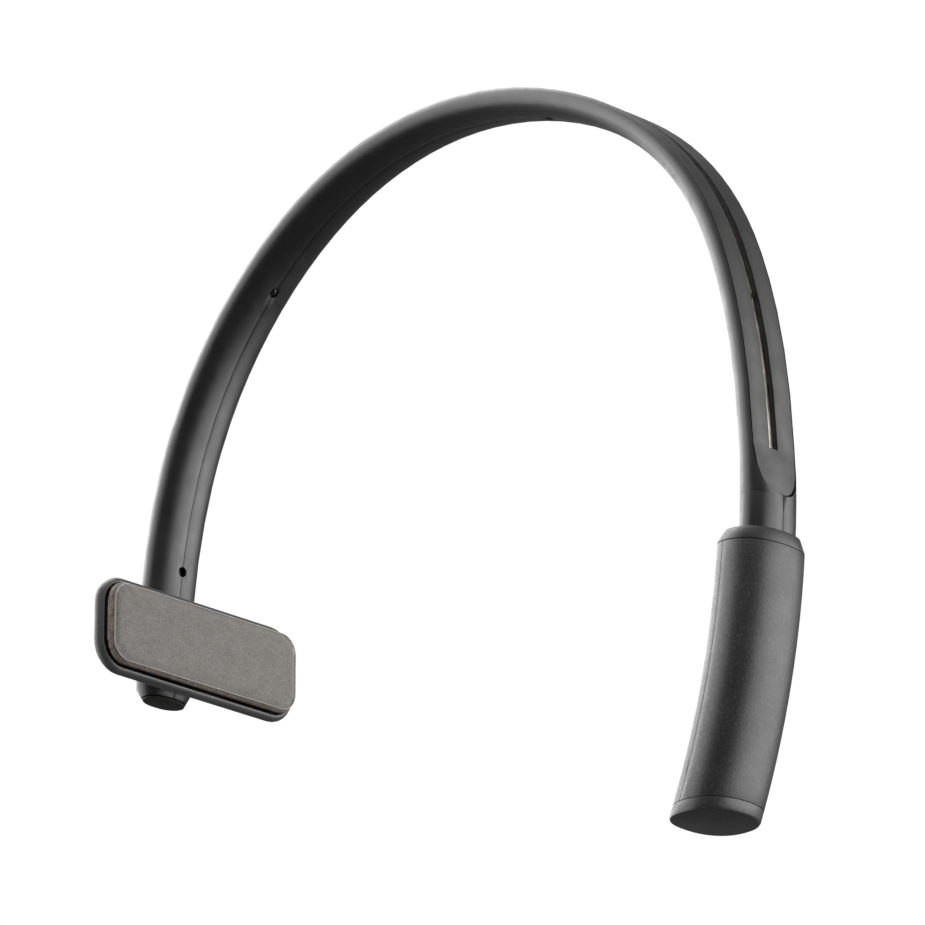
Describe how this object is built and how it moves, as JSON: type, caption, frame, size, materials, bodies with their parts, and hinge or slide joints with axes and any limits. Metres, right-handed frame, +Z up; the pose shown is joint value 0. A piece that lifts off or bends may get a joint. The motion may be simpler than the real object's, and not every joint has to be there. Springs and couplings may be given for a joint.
{
  "type": "bone conduction headset band",
  "caption": "Single-sided over-the-head bone conduction headset: slotted arch band, T-shaped contact pad on one arm, size-adjusting electronics sleeve on the other.",
  "frame": {"origin": "middle of the band's inner face at the crown, where the head carries it", "axes": "+Z up as worn, +X across the head from the pad arm to the sleeve arm, +Y towards the back edge with the keys"},
  "size_m": [0.1472, 0.0466, 0.1393],
  "materials": {
    "band_plastic": "satin moulded plastic",
    "cover_plastic": "matte moulded plastic",
    "sleeve_soft_touch": "soft-touch coat with a fine grain",
    "collar_plastic": "fine-grained moulded plastic",
    "housing_plastic": "satin-gloss moulded plastic",
    "plug_rubber": "matte rubber",
    "pad_suede": "fine suede-like microfibre",
    "pad_foam": "cut foam edge",
    "spring_steel": "rolled spring steel",
    "pin_steel": "blackened steel",
    "ribbon_film": "polyimide film",
    "plate_plastic": "moulded plastic",
    "yoke_steel": "nickel-plated steel",
    "magnet_metal": "plated magnet",
    "coil_copper": "enamelled copper wire",
    "battery_wrap": "foil wrap",
    "board_green": "solder resist",
    "switch_plastic": "moulded plastic",
    "button_plastic": "satin moulded plastic",
    "contact_gold": "gold-plated"
  },
  "bodies": {
    "band": {"band_shell_front": "band_plastic", "band_shell_back": "band_plastic", "outer_cover": "cover_plastic", "spring_steel_strip": "spring_steel", "lead_ribbon": "ribbon_film", "locating_pin_1": "pin_steel", "locating_pin_2": "pin_steel", "locating_pin_3": "pin_steel", "locating_pin_4": "pin_steel", "locating_pin_5": "pin_steel", "band_end_plug": "plug_rubber", "pad_pivot_pin": "pin_steel", "tail_stop": "plate_plastic"},
    "pad": {"pad_housing": "housing_plastic", "pad_cushion": "pad_foam", "pad_face_sheet": "pad_suede", "contact_plate": "plate_plastic", "pad_pivot_lug": "yoke_steel", "lug_screw_1": "pin_steel", "lug_screw_2": "pin_steel", "exciter_yoke": "yoke_steel", "exciter_magnet": "magnet_metal", "voice_coil": "coil_copper", "exciter_spring": "spring_steel"},
    "sleeve": {"sleeve_outer_shell": "sleeve_soft_touch", "sleeve_inner_shell": "sleeve_soft_touch", "sleeve_collar": "collar_plastic", "sleeve_end_cap": "collar_plastic", "battery": "battery_wrap", "circuit_board": "board_green", "power_switch": "switch_plastic", "volume_switch": "switch_plastic", "charge_contact_1": "contact_gold", "charge_contact_2": "contact_gold"},
    "power_key": {"power_button": "button_plastic"},
    "volume_key": {"volume_rocker": "button_plastic"}
  },
  "joints": [
    {"name": "sleeve_slide", "type": "hinge", "parent": "band", "child": "sleeve", "pos_m": [-0.07323, 0, -0.08012], "axis": [0, 1, 0], "range_deg": [-1.7, 4.8]},
    {"name": "pad_tilt", "type": "hinge", "parent": "band", "child": "pad", "pos_m": [-0.06935, 0, -0.07925], "axis": [0, 1, 0], "range_deg": [-5, 5]},
    {"name": "power_button_press", "type": "slide", "parent": "sleeve", "child": "power_key", "axis": [0, -1, 0], "range_m": [0, 0.0004], "stiffness_N_per_m": 700, "springref_m": -0.001},
    {"name": "volume_rocker_rock", "type": "hinge", "parent": "sleeve", "child": "volume_key", "pos_m": [0.06198, 0.0053, -0.12562], "axis": [0.9478, 0, -0.319], "range_deg": [-3, 3], "stiffness_Nm_per_rad": 0.02}
  ]
}
